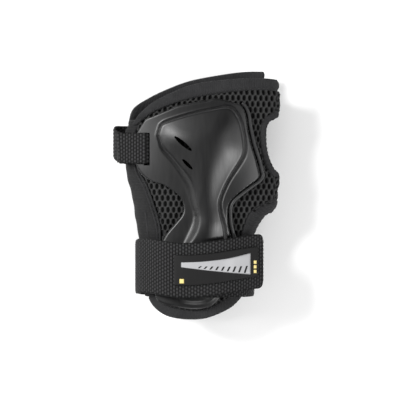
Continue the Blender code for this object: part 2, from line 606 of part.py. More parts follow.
def build_hand_strap():
    """The narrow strap: from the palm, round the little-finger side, up through the slot and back."""
    y = sheet([(0, HAND_STRAP_Y)])[0, 1]
    reach = np.linspace(-HAND_STRAP_WIDTH / 2, HAND_STRAP_WIDTH / 2, 7)

    def over(height, x, mid):
        return float(height(np.full(7, x), mid + reach).max())

    def under(height, x, mid):
        return float(height(np.full(7, x), mid + reach).min())

    bar_x = slot_x - SLOT_BAR * GUARD_WIDTH / DRAWN_WIDTH
    y_palm = y + PALM_END_SHIFT
    rise_x = slot_x - SLOT_WIDTH / 2 + GAP + WEBBING
    low_x = sheet([(-33, 0), (-38, 0)])[:, 0]
    shape = [(x, under(palm_z, x, y_palm) - GAP - WEBBING) for x in low_x]
    middle, half, axis = tube(y)
    edge = middle - half
    shape += [(edge + across_by, axis + up_by) for across_by, up_by in HAND_LOOP]
    flat_x = np.linspace(bar_x, rise_x - 1.0, 5)
    shape += [(x, over(dorsal_z, x, y) + GAP) for x in flat_x]
    path = along(np.array(shape), even(34))
    flap_x = np.linspace(rise_x, bar_x - FLAP_OVERHANG, 9)
    flap_z = np.array([over(shell_z, x, y) for x in flap_x]) + GAP
    bend = path[-1, 1]
    top = flap_z[0] - 2 * GAP
    path = np.vstack([path, (rise_x - 0.3, bend + 0.3), (rise_x, bend + 1.0), (rise_x, top)])
    share = ease((even(len(path) - 1) - 0.38) / 0.38)
    ribbon("hand_strap_base", "webbing", path, y_palm + (y - y_palm) * share,
           HAND_STRAP_WIDTH, WEBBING)
    free = flap_x < bar_x - 0.5
    flap_z[free] = flap_z[~free][-1] + (flap_x[free] - flap_x[~free][-1]) * 0.42
    flap = np.column_stack([flap_x, flap_z])[::-1]
    ribbon("hand_strap_flap", "webbing", flap, y, HAND_STRAP_WIDTH, WEBBING)
    tape = offset_path(flap, -GAP - TAPE)[:4]
    ribbon("hand_hook_tape", "hook_and_loop", tape, y, HAND_STRAP_WIDTH - 3, TAPE)


def main():
    for obj in list(bpy.data.objects):
        bpy.data.objects.remove(obj)
    bpy.context.scene.collection.children.link(parts)
    bpy.context.scene.collection.children.link(cutters)
    add_materials()
    build_dorsal_side()
    build_palm_side()
    build_sides()
    build_thumb_bindings()
    build_shells()
    build_wrist_strap()
    build_hand_strap()


main()
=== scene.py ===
"""Looks of the wrist guard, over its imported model. Lengths are in millimetres until a mesh is made."""

import math

import bmesh
import bpy
import numpy as np
from mathutils import Matrix


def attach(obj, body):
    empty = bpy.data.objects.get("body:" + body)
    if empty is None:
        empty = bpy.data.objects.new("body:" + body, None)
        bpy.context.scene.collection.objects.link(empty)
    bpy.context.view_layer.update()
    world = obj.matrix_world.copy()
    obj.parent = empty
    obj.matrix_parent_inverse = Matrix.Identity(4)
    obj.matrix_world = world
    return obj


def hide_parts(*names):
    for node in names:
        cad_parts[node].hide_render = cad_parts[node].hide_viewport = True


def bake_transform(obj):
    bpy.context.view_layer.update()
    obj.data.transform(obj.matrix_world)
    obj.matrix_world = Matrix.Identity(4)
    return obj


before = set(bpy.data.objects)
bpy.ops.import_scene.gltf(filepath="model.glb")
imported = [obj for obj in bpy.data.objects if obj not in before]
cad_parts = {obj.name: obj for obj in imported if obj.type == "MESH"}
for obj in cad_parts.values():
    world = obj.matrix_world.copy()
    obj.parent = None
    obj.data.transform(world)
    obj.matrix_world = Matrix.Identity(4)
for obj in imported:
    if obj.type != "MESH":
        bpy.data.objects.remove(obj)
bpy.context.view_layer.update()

MM = 0.001
SEAM_GAP = 0.5
GAP = 0.4
FABRIC = 3.0
BINDING = 3.6
THUMB_ROLL_REACH = 55.7
OVERLAP = 0.6  # how far a binding laps over the panel it is sewn to
FOAM = 4.0
SHELL = 2.5
WEBBING = 1.6
TAPE = 0.9
SHELL_STANDOFF = 1.6

# The glove's arch, as the model has it
DORSAL_RISE = 21.0
PALM_DEPTH = 22.0
ARCH_POWER = 2.3
STRAP_Y = -52.0
HAND_Y = 27.0
SLOPE_ROOM = 1.0
PALM_RIB = 1.5
SKID_DEPTH = 7.2
WRIST_AXIS = PALM_DEPTH + SHELL_STANDOFF + SHELL + PALM_RIB + GAP + WEBBING + SLOPE_ROOM
HAND_AXIS = PALM_DEPTH + SHELL_STANDOFF + SHELL + SKID_DEPTH
SHELL_SPREAD_ULNAR = 11.0
SHELL_SPREAD_THUMB = 3.0
DOME_STEP = 4.2
DOME_RAMP = 2.6
DOME_CROWN = 4.6
DOME_CROWN_REACH = 13.0
DOME_BLUR = 0.8
CROWN_BLUR = (3.0, 6.0)
FACET = 1.9
SKID_RADIUS = 27.0
SKID_CENTRE = (3.0, 27.0)
HAND_STRAP_Y = 32.0
HAND_STRAP_WIDTH = 21.5
WRIST_STRAP_WIDTH = 38.0
SLOT_X = -34.5
SLOT_WIDTH = 4.2
FLAP_END = -54.6
PALM_END_SHIFT = 6.3  # the hand strap leaves the palm this much nearer the fingers
HOLE_PITCH = 3.95
HOLE_ROW = 4.1
WEAVE_COLUMN = 2.07
WEAVE_NUB = 2.6
RING_POWER = 2.4
RING_ROOM = 1.2
LAYERS = WEBBING + 3 * GAP + 2 * TAPE

# Edge curves in plan
TUBE_ULNAR = [(-90, -34), (-72, -36), (-50, -39.5), (-28, -40.8), (-12, -43.2), (4.5, -46.3),
              (18.7, -49.3), (35, -49.5), (60, -49.5), (90, -49.5)]
TUBE_THUMB = [(-90, 33), (-72, 35), (-50, 37), (-28, 41.5), (-18, 46.5), (-11, 54),
              (-3, 58.5), (6, 59), (60, 59), (90, 59.2)]
SEAM_DORSAL = [(-29, -71.5), (-28.5, -60), (-26.5, -45), (-25, -29), (-26.6, -17.5),
               (-30.3, -5.5), (-32.7, 1.5), (-35.6, 8.5), (-39.5, 16), (-42, 26), (-42.8, 38),
               (-41.5, 49.5)]
SEAM_PALM = [(-28, -71.5), (-29, -55), (-29, -35), (-31, -15), (-36, 2), (-40, 16), (-42, 30),
             (-42, 42), (-41, 50.5)]
SHORT_SEAM = [(-35.4, -12), (-34.4, -21), (-32.7, -33)]
FINGER_OUTER_DORSAL = [(-45.6, 49.5), (-39.8, 57), (-30.7, 64.7), (-17.7, 71.2), (-4.8, 76.3),
                       (8.2, 78.9), (27.5, 80.9), (46.9, 81.6), (57.8, 81)]
FINGER_INNER_DORSAL = [(-41.5, 49.5), (-35.8, 54.2), (-27, 59.5), (-12.1, 65.2), (-3.6, 67.5),
                       (9, 70), (27.5, 72.6), (44, 73.8), (58, 73.6)]
FINGER_OUTER_PALM = [(-48.4, 49.5), (-44.8, 60.8), (-34, 68.5), (-20.7, 75), (-5, 80.8),
                     (14.6, 84.7), (34.1, 87.2), (49, 87.2)]
FINGER_INNER_PALM = [(-41, 50.5), (-36, 57.5), (-29, 62.8), (-17.5, 68.4), (-3.5, 73.6),
                     (15, 77.5), (33.5, 80.3), (47.5, 80.2)]
CUFF_OUTER = [(-34.6, -71.5), (-32.2, -76), (-27.6, -80.8), (-20.8, -84.6), (-12.1, -86.4),
              (-2.3, -86.9), (5.8, -86.3), (12.8, -84.2), (19.4, -81.5), (25.9, -77.9),
              (32.6, -71.5)]
CUFF_INNER = [(-29, -71.5), (-26, -76), (-18, -80.3), (-8, -82.2), (0, -82.4), (8, -81.2),
              (16, -77.8), (22, -74.3), (26.5, -71.5)]
THUMB_SIDE_DORSAL = [(25.5, -71.5), (28.5, -60), (30, -45), (32.5, -28), (34.7, -20),
                     (37.4, -13.6), (42, -8.8), (49, -5.6), (54.5, -3), (56.2, 1), (56.2, 11),
                     (51.6, 16), (47.6, 24), (45.3, 34), (45.3, 47), (48.6, 54), (56, 59.5),
                     (58, 73.6)]
THUMB_SIDE_PALM = [(25.5, -71.5), (28.5, -60), (30, -45), (32.5, -28), (34.2, -20),
                   (36.6, -13.6), (40.5, -8.8), (46.5, -5.6), (51.5, -3), (53.4, 1), (53.4, 11),
                   (49.6, 16), (46.6, 24), (45.3, 34), (45.3, 46), (47.6, 53), (50.6, 59),
                   (47.5, 80.2)]
SLIT_EDGE = [(29.5, -71.5), (34, -60), (36, -45), (41, -28), (45, -19.5), (49.5, -14),
             (56, -11.2), (58, -6)]
SHELL_ULNAR = [(-28.4, -71.6), (-30, -62), (-28.5, -45), (-22.9, -30.1), (-19.3, -24.4),
               (-14.3, -18.7), (-10, -13), (-9.3, -7.9), (-12.1, -0.8), (-22.9, 7),
               (-32.2, 9.9), (-38.4, 14.2), (-42.6, 21), (-44, 31), (-42.5, 41.5),
               (-35.7, 52.7)]
SHELL_THUMB = [(19.8, -71), (28, -60), (30, -45), (27.8, -30.7), (25.4, -20), (25, -10.8),
               (26.4, -5.8), (30.7, -1.5), (39.2, 4.9), (45, 9.2), (47.6, 13.4), (47.1, 16.3),
               (45, 24.9), (41.4, 36.3), (39.2, 46.3), (37.8, 55.6), (35.7, 61.3),
               (32.9, 64.9)]
SHELL_FINGER = [(-35.7, 52.7), (-29.3, 55.6), (-19.3, 59.9), (-12.1, 62.8), (-3.6, 64.5),
                (7.1, 66.3), (14.2, 67.7), (22.2, 68.8), (28.5, 67.7), (32.9, 64.9)]
SHELL_CUFF = [(-28.4, -71.6), (-26.1, -75), (-19.7, -77.4), (-7, -79.7), (1.2, -80),
              (7, -79), (11.7, -76.8), (16.3, -73.6), (19.8, -71)]
DOME = [(-28.2, 42), (-25.7, 49.9), (-22.2, 52), (-3.6, 57.7), (17.8, 62.1), (22.2, 62.4),
        (26.4, 60.6), (30, 55.6), (32.9, 48.5), (35, 36), (35, 29.2), (32.1, 22.7),
        (23.6, 9.2), (18.2, -3.7), (18.2, -10.8), (21.4, -26.5), (20, -55), (10, -74),
        (-12, -74), (-17, -55), (-8, -30.7), (-2.1, -15.9), (-5, -4), (-10, 10),
        (-17.9, 23.5), (-25, 32)]
PALM_SHELL_ULNAR = [(-19, -74), (-24, -60), (-22, -40), (-15, -22), (-13, -10), (-17, 0),
                    (-27, 10), (-31, 24), (-30, 38), (-23, 50)]
PALM_SHELL_THUMB = [(17, -74), (23, -60), (22, -40), (18, -22), (17, -10), (21, 0), (32, 9),
                    (37, 22), (36, 38), (29, 50)]
PALM_SHELL_FINGER = [(-23, 50), (-12, 56), (4, 58.5), (20, 56), (29, 50)]
PALM_SHELL_CUFF = [(-19, -74), (-10, -78), (-1, -79), (8, -78), (17, -74)]
FOAM_ULNAR = [(-19, -66), (-20, -50), (-13, -20), (-15, 0), (-27, 18), (-28, 44)]
FOAM_THUMB = [(17, -66), (20, -50), (18, -20), (20, 0), (32, 16), (32, 50)]
FOAM_FINGER = [(-28, 44), (-12, 54), (10, 58), (32, 50)]
FOAM_CUFF = [(-19, -66), (-1, -70), (17, -66)]
VENTS = [((-9.1, 35.6), -40.0, 15.5, 3.0), ((-6.1, 21.3), -45.0, 10.0, 2.3)]
HAND_LOOP = [(3.5, -12.0), (-3.5, -8.0), (-7.5, 0.0), (-6.0, 7.5), (-1.0, 11.5)]
WEDGE_TOP = [(-10.5, -46.5), (4, -45.9), (22, -43.8), (37.8, -40.2)]
WEDGE_BOTTOM = [(-10.5, -49.8), (4, -51.6), (22, -53.6), (37.8, -55.2)]


# ---- Curves and heights ----


def along(points, fractions):
    """Places on the smooth curve through points, at these fractions of its length."""
    p = np.asarray(points, float)
    ends = np.vstack([2 * p[0] - p[1], p, 2 * p[-1] - p[-2]])
    fine = [p[0]]
    for a, b, c, d in zip(ends, ends[1:], ends[2:], ends[3:]):
        for t in np.linspace(0, 1, 13)[1:]:
            fine.append(0.5 * (2 * b + (c - a) * t + (2 * a - 5 * b + 4 * c - d) * t**2
                               + (3 * b - a - 3 * c + d) * t**3))
    fine = np.array(fine)
    length = np.r_[0, np.cumsum(np.linalg.norm(np.diff(fine, axis=0), axis=1))]
    at = np.asarray(fractions) * length[-1]
    return np.column_stack([np.interp(at, length, fine[:, k]) for k in range(p.shape[1])])


def even(count):
    return np.linspace(0, 1, count + 1)


def inset(curve, distance):
    """The curve moved sideways, to the left of its direction for a positive distance."""
    step = np.gradient(curve, axis=0)
    step /= np.linalg.norm(step, axis=1)[:, None]
    return curve + distance * np.column_stack([-step[:, 1], step[:, 0]])


def at_y(pairs):
    y, x = along(pairs, even(120)).T
    return lambda where: np.interp(where, y, x)


tube_ulnar = at_y(TUBE_ULNAR)
tube_thumb = at_y(TUBE_THUMB)


def tube(y):
    """Middle x, half width and side-seam height of the glove at y."""
    low, high = tube_ulnar(y), tube_thumb(y)
    rise = (y - STRAP_Y) / (HAND_Y - STRAP_Y)
    return (low + high) / 2, (high - low) / 2, WRIST_AXIS + rise * (HAND_AXIS - WRIST_AXIS)


def arch(t):
    return (1 - np.clip(np.abs(t), 0, 1) ** ARCH_POWER) ** (1 / ARCH_POWER)


def dorsal_z(x, y):
    middle, half, axis = tube(y)
    return axis + DORSAL_RISE * arch((x - middle) / half)


def palm_z(x, y):
    middle, half, axis = tube(y)
    return axis - PALM_DEPTH * arch((x - middle) / half)


def edge_distance(x, y, outline):
    """Distance to a closed outline, and whether each place is inside it."""
    a = outline
    b = np.roll(a, -1, axis=0)
    p = np.stack([x, y], -1)[..., None, :]
    step = b - a
    t = np.clip(((p - a) * step).sum(-1) / (step**2).sum(-1), 0, 1)
    distance = np.linalg.norm(p - a - t[..., None] * step, axis=-1).min(-1)
    crosses = (a[:, 1] > p[..., 1]) != (b[:, 1] > p[..., 1])
    run = step[:, 0] * (p[..., 1] - a[:, 1]) / np.where(step[:, 1], step[:, 1], 1)
    inside = (crosses & (p[..., 0] < a[:, 0] + run)).sum(-1) % 2 == 1
    return distance, inside


def ease(t):
    t = np.clip(t, 0, 1)
    return t * t * (3 - 2 * t)


dome_outline = along(DOME + DOME[:1], even(90))[:-1]


def dome_depth(x, y):
    distance, inside = edge_distance(x, y, dome_outline)
    return np.where(inside, distance, 0)


def near(x, y, centre, reach):
    return np.exp(-((x - centre[0]) ** 2 + (y - centre[1]) ** 2) / reach**2)


def dome_step(x, y):
    """The dome's steep border, which softens at the waist and widens to a facet by the wrist."""
    ramp = DOME_RAMP * (1 + 2.2 * near(x, y, (-8, 4), 15) + FACET * near(x, y, (-4, -25), 11))
    return DOME_STEP * ease(dome_depth(x, y) / ramp)


def dome_crown(x, y):
    return DOME_CROWN * (1 - np.exp(-((dome_depth(x, y) / DOME_CROWN_REACH) ** 2)))


def blurred(height, x, y, radii):
    """The mean of a height over rings of places round each one."""
    turns = np.radians(np.arange(0, 360, 45))
    rings = [height(x + r * np.cos(t), y + r * np.sin(t)) for r in radii for t in turns]
    return (2 * height(x, y) + sum(rings)) / (2 + len(rings))


def shell_z(x, y):
    """Height of the outer face of the dorsal shell: a wide arch with an hourglass dome on it."""
    middle, half, axis = tube(y)
    spread = np.where(x < middle, SHELL_SPREAD_ULNAR, SHELL_SPREAD_THUMB)
    base = axis + (DORSAL_RISE + SHELL_STANDOFF + SHELL) * arch((x - middle) / (half + spread))
    rise = blurred(dome_step, x, y, (DOME_BLUR,)) + blurred(dome_crown, x, y, CROWN_BLUR)
    return base + rise * (1 - 0.62 * ease((STRAP_Y + 34 - y) / 30))


def palm_shell_z(x, y):
    middle, half, axis = tube(y)
    base = axis - (PALM_DEPTH + SHELL_STANDOFF + SHELL) * arch((x - middle) / (half + 6))
    away = np.hypot(x - SKID_CENTRE[0], y - SKID_CENTRE[1]) / SKID_RADIUS
    skid = (SKID_DEPTH + 2.0) * ease(1.25 - 1.1 * away)
    rib = PALM_RIB * ease(1.4 - np.abs(x - middle) / 11)
    return np.maximum(base - np.maximum(skid, rib), 0)


def plan_patch(left, right, bottom, top, across, upward):
    """Places inside four edge curves, a Coons patch: rows run from left to right."""
    u = even(across)[None, :, None]
    v = even(upward)[:, None, None]
    sides = ((1 - u) * along(left, even(upward))[:, None]
             + u * along(right, even(upward))[:, None])
    low, high = along(bottom, even(across)), along(top, even(across))
    ends = (1 - v) * low[None] + v * high[None]
    corners = ((1 - v) * ((1 - u) * low[0] + u * low[-1])
               + v * ((1 - u) * high[0] + u * high[-1]))
    return sides + ends - corners


def joined_patch(left, right, bottom, top, across, upward):
    bottom, top = bottom.copy(), top.copy()
    bottom[0], bottom[-1] = left[0], right[0]
    top[0], top[-1] = left[-1], right[-1]
    return plan_patch(left, right, bottom, top, across, upward)


def raised(plan, height):
    return np.dstack([plan, height(plan[..., 0], plan[..., 1])])


def turn_at(x, y):
    middle, half, _ = tube(y)
    return np.arccos(np.clip(np.abs(x - middle) / half, 0, 1) ** (ARCH_POWER / 2))


def side_points(first, last, side, around, lengthwise, faces=(1, -1)):
    """Places round one side of the glove, between two long edges: 1 is the back, -1 the palm."""
    a, b = along(first, even(lengthwise))[:, None], along(last, even(lengthwise))[:, None]
    share = even(around)[None]
    turn_a, turn_b = faces[0] * turn_at(*a.T).T, faces[1] * turn_at(*b.T).T
    turn = turn_a + share * (turn_b - turn_a)
    y = a[..., 1] + share * (b[..., 1] - a[..., 1])
    middle, half, axis = tube(y)
    x = middle + side * half * np.cos(turn) ** (2 / ARCH_POWER)
    rise = np.abs(np.sin(turn)) ** (2 / ARCH_POWER)
    z = axis + np.where(turn > 0, DORSAL_RISE, -PALM_DEPTH) * rise
    points = np.dstack([x, y, z])
    flip = (side < 0) != (faces == (-1, -1))
    return points[:, ::-1] if flip else points


def stretch(curve, low, high):
    fine = along(curve, even(240))
    return fine[(fine[:, 1] > low) & (fine[:, 1] < high)]


ring_axis = tube(STRAP_Y)[2]
ring_low = tube_ulnar(STRAP_Y + WRIST_STRAP_WIDTH / 2) - RING_ROOM
ring_high = tube_thumb(STRAP_Y + WRIST_STRAP_WIDTH / 4) + RING_ROOM
ring_middle = (ring_low + ring_high) / 2
ring_half = (ring_high - ring_low) / 2
strap_band = np.meshgrid(np.linspace(-20, 20, 21),
                         STRAP_Y + even(8) * WRIST_STRAP_WIDTH - WRIST_STRAP_WIDTH / 2)
RING_RISE = shell_z(*strap_band).max() + GAP - ring_axis
RING_DEPTH = ring_axis - WEBBING


def ring(degrees, offset):
    """The wrist strap's path round the cuff, as (x, z), this far out from the glove."""
    turn = np.radians(np.asarray(degrees, float))
    c, s = np.cos(turn), np.sin(turn)
    power = 2 / RING_POWER
    depth = np.where(s > 0, RING_RISE, RING_DEPTH) + offset
    x = ring_middle + (ring_half + offset) * np.sign(c) * np.abs(c) ** power
    return np.column_stack([x, ring_axis + depth * np.sign(s) * np.abs(s) ** power])


# ---- Materials ----


def material(name, colour, roughness, **sockets):
    made = bpy.data.materials.new(name)
    made.use_nodes = True
    surface = made.node_tree.nodes["Principled BSDF"]
    surface.inputs["Base Color"].default_value = (*colour, 1)
    surface.inputs["Roughness"].default_value = roughness
    for socket, value in sockets.items():
        surface.inputs[socket.replace("_", " ")].default_value = value
    return made


def node(made, kind, **values):
    """A shader node; values are its attributes, or its sockets by name."""
    new = made.node_tree.nodes.new(kind)
    for key, value in values.items():
        if hasattr(new, key):
            setattr(new, key, value)
        else:
            new.inputs[key.replace("_", " ")].default_value = value
    return new


def link(made, out, into):
    made.node_tree.links.new(out, into)


def coordinates(made, scale, roll=0.0):
    """Object coordinates in millimetres, in cells of this size, rolled about the arm's line."""
    where = node(made, "ShaderNodeTexCoord")
    mapping = node(made, "ShaderNodeMapping")
    mapping.inputs["Rotation"].default_value = (0, roll, 0)
    mapping.inputs["Scale"].default_value = [1000 / s for s in scale]
    link(made, where.outputs["Object"], mapping.inputs["Vector"])
    return mapping.outputs["Vector"]


def two_tone(made, factor, dark, light):
    """Base colour from a factor, between two colours."""
    ramp = node(made, "ShaderNodeValToRGB")
    ramp.color_ramp.elements[0].color = (*dark, 1)
    ramp.color_ramp.elements[1].color = (*light, 1)
    link(made, factor, ramp.inputs["Fac"])
    link(made, ramp.outputs["Color"], made.node_tree.nodes["Principled BSDF"].inputs["Base Color"])
    return ramp


def relief_of(made, factor, depth, strength=1.0):
    """Bump of this depth in millimetres."""
    bump = node(made, "ShaderNodeBump", Strength=strength, Distance=depth * MM)
    link(made, factor, bump.inputs["Height"])
    link(made, bump.outputs["Normal"], made.node_tree.nodes["Principled BSDF"].inputs["Normal"])
    return bump


def noise(made, size, detail=3.0, stretch_by=(1, 1, 1)):
    texture = node(made, "ShaderNodeTexNoise", Scale=1.0, Detail=detail)
    link(made, coordinates(made, [size * s for s in stretch_by]), texture.inputs["Vector"])
    return texture.outputs["Fac"]


def maths(made, operation, a, b):
    new = node(made, "ShaderNodeMath", operation=operation)
    for socket, value in zip(new.inputs, (a, b)):
        if isinstance(value, (int, float)):
            socket.default_value = value
        else:
            link(made, value, socket)
    return new.outputs[0]


def knit(name, dark, light, roughness, pitch, sheen=0.04, depth=0.3):
    """Fine knit: two crossed sets of ribs, one rolled so that cloth facing sideways has it too."""
    made = material(name, light, roughness, Specular_IOR_Level=0.12, Sheen_Weight=sheen,
                    Sheen_Roughness=0.4)
    ribs = []
    for direction, roll in (("X", math.radians(45)), ("Y", 0.0)):
        wave = node(made, "ShaderNodeTexWave", bands_direction=direction, Scale=0.314,
                    Distortion=1.2, Detail=1.0)
        link(made, coordinates(made, (pitch, pitch, pitch), roll), wave.inputs["Vector"])
        ribs.append(wave.outputs["Fac"])
    cross = maths(made, "MULTIPLY", *ribs)
    uneven = maths(made, "ADD", maths(made, "MULTIPLY", cross, 0.55),
                   maths(made, "MULTIPLY", noise(made, 9.0), 0.6))
    two_tone(made, uneven, dark, light)
    relief_of(made, cross, depth)
    return made


def relief_fabric(name, dark, light, roughness, thread, sheen=0.04):
    """Cloth whose modelled relief also paints shade into its hollows and a lighter tone on its raised
    tops, with fine thread over it.
    """
    made = material(name, light, roughness, Specular_IOR_Level=0.15, Sheen_Weight=sheen,
                    Sheen_Roughness=0.35)
    height = node(made, "ShaderNodeAttribute", attribute_name="relief")
    fine = noise(made, thread, 2.0)
    thready = maths(made, "ADD", maths(made, "MULTIPLY", fine, 0.9), 0.5)
    # painted shade: the base colour goes near black where the relief attribute is low, and lighter on
    # the raised parts
    shade = maths(made, "MULTIPLY", maths(made, "POWER", height.outputs["Fac"], 1.6), thready)
    two_tone(made, shade, dark, light)
    relief_of(made, fine, 0.12)
    return made


def moulded(name, dark, light, roughness, specular=0.5):
    """Satin moulded plastic: a fine grain, and long faint rubs that change its gloss."""
    made = material(name, light, roughness, Specular_IOR_Level=specular)
    two_tone(made, noise(made, 22.0, 4.0), dark, light)
    rubs = noise(made, 5.0, 5.0, (0.25, 3.0, 1.0))
    spread = node(made, "ShaderNodeMapRange", From_Min=0.3, From_Max=0.75,
                  To_Min=roughness - 0.02, To_Max=roughness + 0.04)
    link(made, rubs, spread.inputs["Value"])
    link(made, spread.outputs["Result"], made.node_tree.nodes["Principled BSDF"].inputs["Roughness"])
    relief_of(made, noise(made, 0.5, 2.0), 0.02, 0.6)
    return made


SHELL_BLACK = moulded("shell_plastic", (0.005, 0.005, 0.0053), (0.007, 0.007, 0.0073), 0.39, 0.66)
# the near-black dark tone is painted shade in the mesh holes; the light tone is the ribs
MESH = relief_fabric("air_mesh", (0.0008, 0.0008, 0.0008), (0.040, 0.040, 0.040), 0.85, 0.5)
KNIT = knit("binding_knit", (0.014, 0.014, 0.015), (0.042, 0.042, 0.043), 0.8, 0.9)
SIDE = knit("side_knit", (0.011, 0.011, 0.011), (0.034, 0.034, 0.035), 0.85, 1.1)
PALM = knit("palm_cloth", (0.012, 0.012, 0.012), (0.030, 0.030, 0.031), 0.8, 0.8)
LINING = knit("foam_lining", (0.020, 0.020, 0.021), (0.050, 0.050, 0.052), 0.9, 1.3)
# the near-black dark tone is painted shade between the nubs
WOVEN = relief_fabric("woven_webbing", (0.0008, 0.0008, 0.0008), (0.044, 0.044, 0.045), 0.66, 0.35)
# lighter than the shell plastic: partly the cord's own tone, partly a painted highlight along its top
RIM = moulded("rim_cord", (0.014, 0.014, 0.0145), (0.024, 0.024, 0.0245), 0.45)
THREAD = knit("stitch_thread", (0.016, 0.016, 0.016), (0.060, 0.060, 0.061), 0.6, 0.5)
FUZZ = knit("hook_and_loop", (0.004, 0.004, 0.004), (0.018, 0.018, 0.018), 0.95, 0.7, 0.3, 0.5)
COATED = moulded("coated_patch", (0.0045, 0.0043, 0.0045), (0.008, 0.0078, 0.008), 0.66, 0.3)
SILVER = moulded("silver_print", (0.28, 0.28, 0.29), (0.42, 0.42, 0.43), 0.42)
YELLOW = moulded("yellow_print", (0.62, 0.50, 0.16), (0.80, 0.68, 0.28), 0.5)


# ---- Meshes ----


def mesh_object(name, vertices, faces, made, body, relief=None):
    """A smooth piece from vertices in millimetres, riding on a body."""
    mesh = bpy.data.meshes.new(name)
    mesh.from_pydata((np.asarray(vertices) * MM).tolist(), [], [list(map(int, f)) for f in faces])
    bm = bmesh.new()
    bm.from_mesh(mesh)
    if relief is None:
        bmesh.ops.recalc_face_normals(bm, faces=bm.faces)
    bm.to_mesh(mesh)
    bm.free()
    mesh.shade_smooth()
    mesh.materials.append(made)
    if relief is not None:
        attribute = mesh.attributes.new("relief", "FLOAT", "POINT")
        attribute.data.foreach_set("value", np.asarray(relief, np.float32).ravel())
    obj = bpy.data.objects.new(name, mesh)
    bpy.context.scene.collection.objects.link(obj)
    if body:
        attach(obj, body)
    return obj


def quads(rows, columns, wrap=False):
    index = np.arange(rows * columns).reshape(rows, columns)
    if wrap:
        index = np.column_stack([index, index[:, 0]])
    return np.stack([index[:-1, :-1], index[:-1, 1:], index[1:, 1:], index[1:, :-1]], -1).reshape(-1, 4)


def normals(points):
    n = np.cross(np.gradient(points, axis=1), np.gradient(points, axis=0))
    return n / np.maximum(np.linalg.norm(n, axis=-1), 1e-9)[..., None]


def travel(points, axis):
    """Distance from the first row or column, along the surface."""
    step = np.linalg.norm(np.diff(points, axis=axis), axis=-1)
    pad = [(0, 0), (0, 0)]
    pad[axis] = (1, 0)
    return np.pad(np.cumsum(step, axis=axis), pad)


def border_distance(points):
    across, up = travel(points, 1), travel(points, 0)
    return np.minimum.reduce([across, across[:, -1:] - across, up, up[-1:] - up])


def skin(name, points, lift, relief, made, body, drop=1.4, dip=0.8):
    """A sheet of cloth over a form: lifted by its relief, dipping to its sewn edges."""
    n = normals(points)
    offset = lift - dip * np.exp(-((border_distance(points) / 1.6) ** 2))
    face = points + n * offset[..., None]
    face = np.pad(face, ((1, 1), (1, 1), (0, 0)), mode="edge")
    down = np.pad(n, ((1, 1), (1, 1), (0, 0)), mode="edge") * drop
    rim = np.ones(face.shape[:2], bool)
    rim[1:-1, 1:-1] = False
    face[rim] -= down[rim]
    # the relief pattern is kept as a colour attribute: painted shade in the hollows, lighter on the
    # crests
    shade = np.pad(relief, 1, mode="edge")
    rows, columns = face.shape[:2]
    return mesh_object(name, face.reshape(-1, 3), quads(rows, columns), made, body, shade)


def slab(name, points, thickness, made, body, relief=None):
    """A closed sheet: its outer face at points, its thickness inward, with a rounded rim."""
    n = normals(points)
    d = border_distance(points)
    round_off = np.sqrt(np.clip(1 - np.clip(1 - d / (thickness / 2), 0, 1) ** 2, 0, 1))
    middle = points - n * thickness / 2
    upper = middle + n * (thickness / 2 * round_off)[..., None]
    lower = middle - n * (thickness / 2 * round_off)[..., None]
    if relief is not None:
        upper = upper + n * relief[..., None]
    rows, columns = points.shape[:2]
    top = quads(rows, columns)
    bottom = quads(rows, columns)[:, ::-1] + rows * columns
    vertices = np.vstack([upper.reshape(-1, 3), lower.reshape(-1, 3)])
    obj = mesh_object(name, vertices, np.vstack([top, bottom]), made, body)
    bm = bmesh.new()
    bm.from_mesh(obj.data)
    bmesh.ops.remove_doubles(bm, verts=bm.verts, dist=2e-6)
    bmesh.ops.recalc_face_normals(bm, faces=bm.faces)
    bm.to_mesh(obj.data)
    bm.free()
    return obj


def sweep(name, centre, across, up, half_width, half_height, made, body, sides=18, power=2.6):
    """A closed rounded bar along centre, whose section is a squarish oval in (across, up)."""
    turn = np.linspace(0, 2 * np.pi, sides, endpoint=False)
    c = np.sign(np.cos(turn)) * np.abs(np.cos(turn)) ** (2 / power)
    s = np.sign(np.sin(turn)) * np.abs(np.sin(turn)) ** (2 / power)
    wide = np.broadcast_to(half_width, len(centre))[:, None, None]
    high = np.broadcast_to(half_height, len(centre))[:, None, None]
    section = (centre[:, None] + across[:, None] * wide * c[None, :, None]
               + up[:, None] * high * s[None, :, None])
    rows = len(centre)
    faces = [tuple(f) for f in quads(rows, sides, wrap=True)]
    faces.append(tuple(range(sides)))
    faces.append(tuple(range((rows - 1) * sides, rows * sides)))
    return mesh_object(name, section.reshape(-1, 3), faces, made, body)


def frame_along(path, up_hint):
    """Directions across and up for a path in space."""
    step = np.gradient(path, axis=0)
    step /= np.linalg.norm(step, axis=1)[:, None]
    across = np.cross(step, up_hint)
    across /= np.linalg.norm(across, axis=1)[:, None]
    return across, np.cross(across, step)


def binding_band(name, outer, inner, height, face, made, body="sleeve", stations=150):
    """A folded binding between two edges in plan, puckered a little by its stitching."""
    a = along(outer, even(stations))
    b = along(inner, even(stations))
    a = np.column_stack([a, height(*a.T)])
    b = np.column_stack([b, height(*b.T)])
    across = a - b
    wide = np.linalg.norm(across, axis=1)
    across /= wide[:, None]
    step = np.gradient((a + b) / 2, axis=0)
    step /= np.linalg.norm(step, axis=1)[:, None]
    up = np.cross(step, across)
    up *= np.sign(up[:, 2:]) / np.linalg.norm(up, axis=1)[:, None]
    length = np.r_[0, np.cumsum(np.linalg.norm(np.diff(a, axis=0), axis=1))]
    pucker = 1 + 0.05 * np.sin(length * 2 * np.pi / 3.4) + 0.05 * np.sin(length * 0.9)
    centre = (a + b) / 2 - up * (face * FABRIC / 2)
    to_end = np.minimum(length, length[-1] - length)
    corner = np.sqrt(1 - np.clip(1 - to_end / 1.4, 0, 1) ** 2 * 0.6)
    sweep(name, centre, across, up, wide / 2 * corner, BINDING / 2 * pucker, made, body,
          22, 3.0)
    line = b + across * 1.3 + up * face * (BINDING / 2 - FABRIC / 2 + BINDING * 0.02)
    return line, up * face


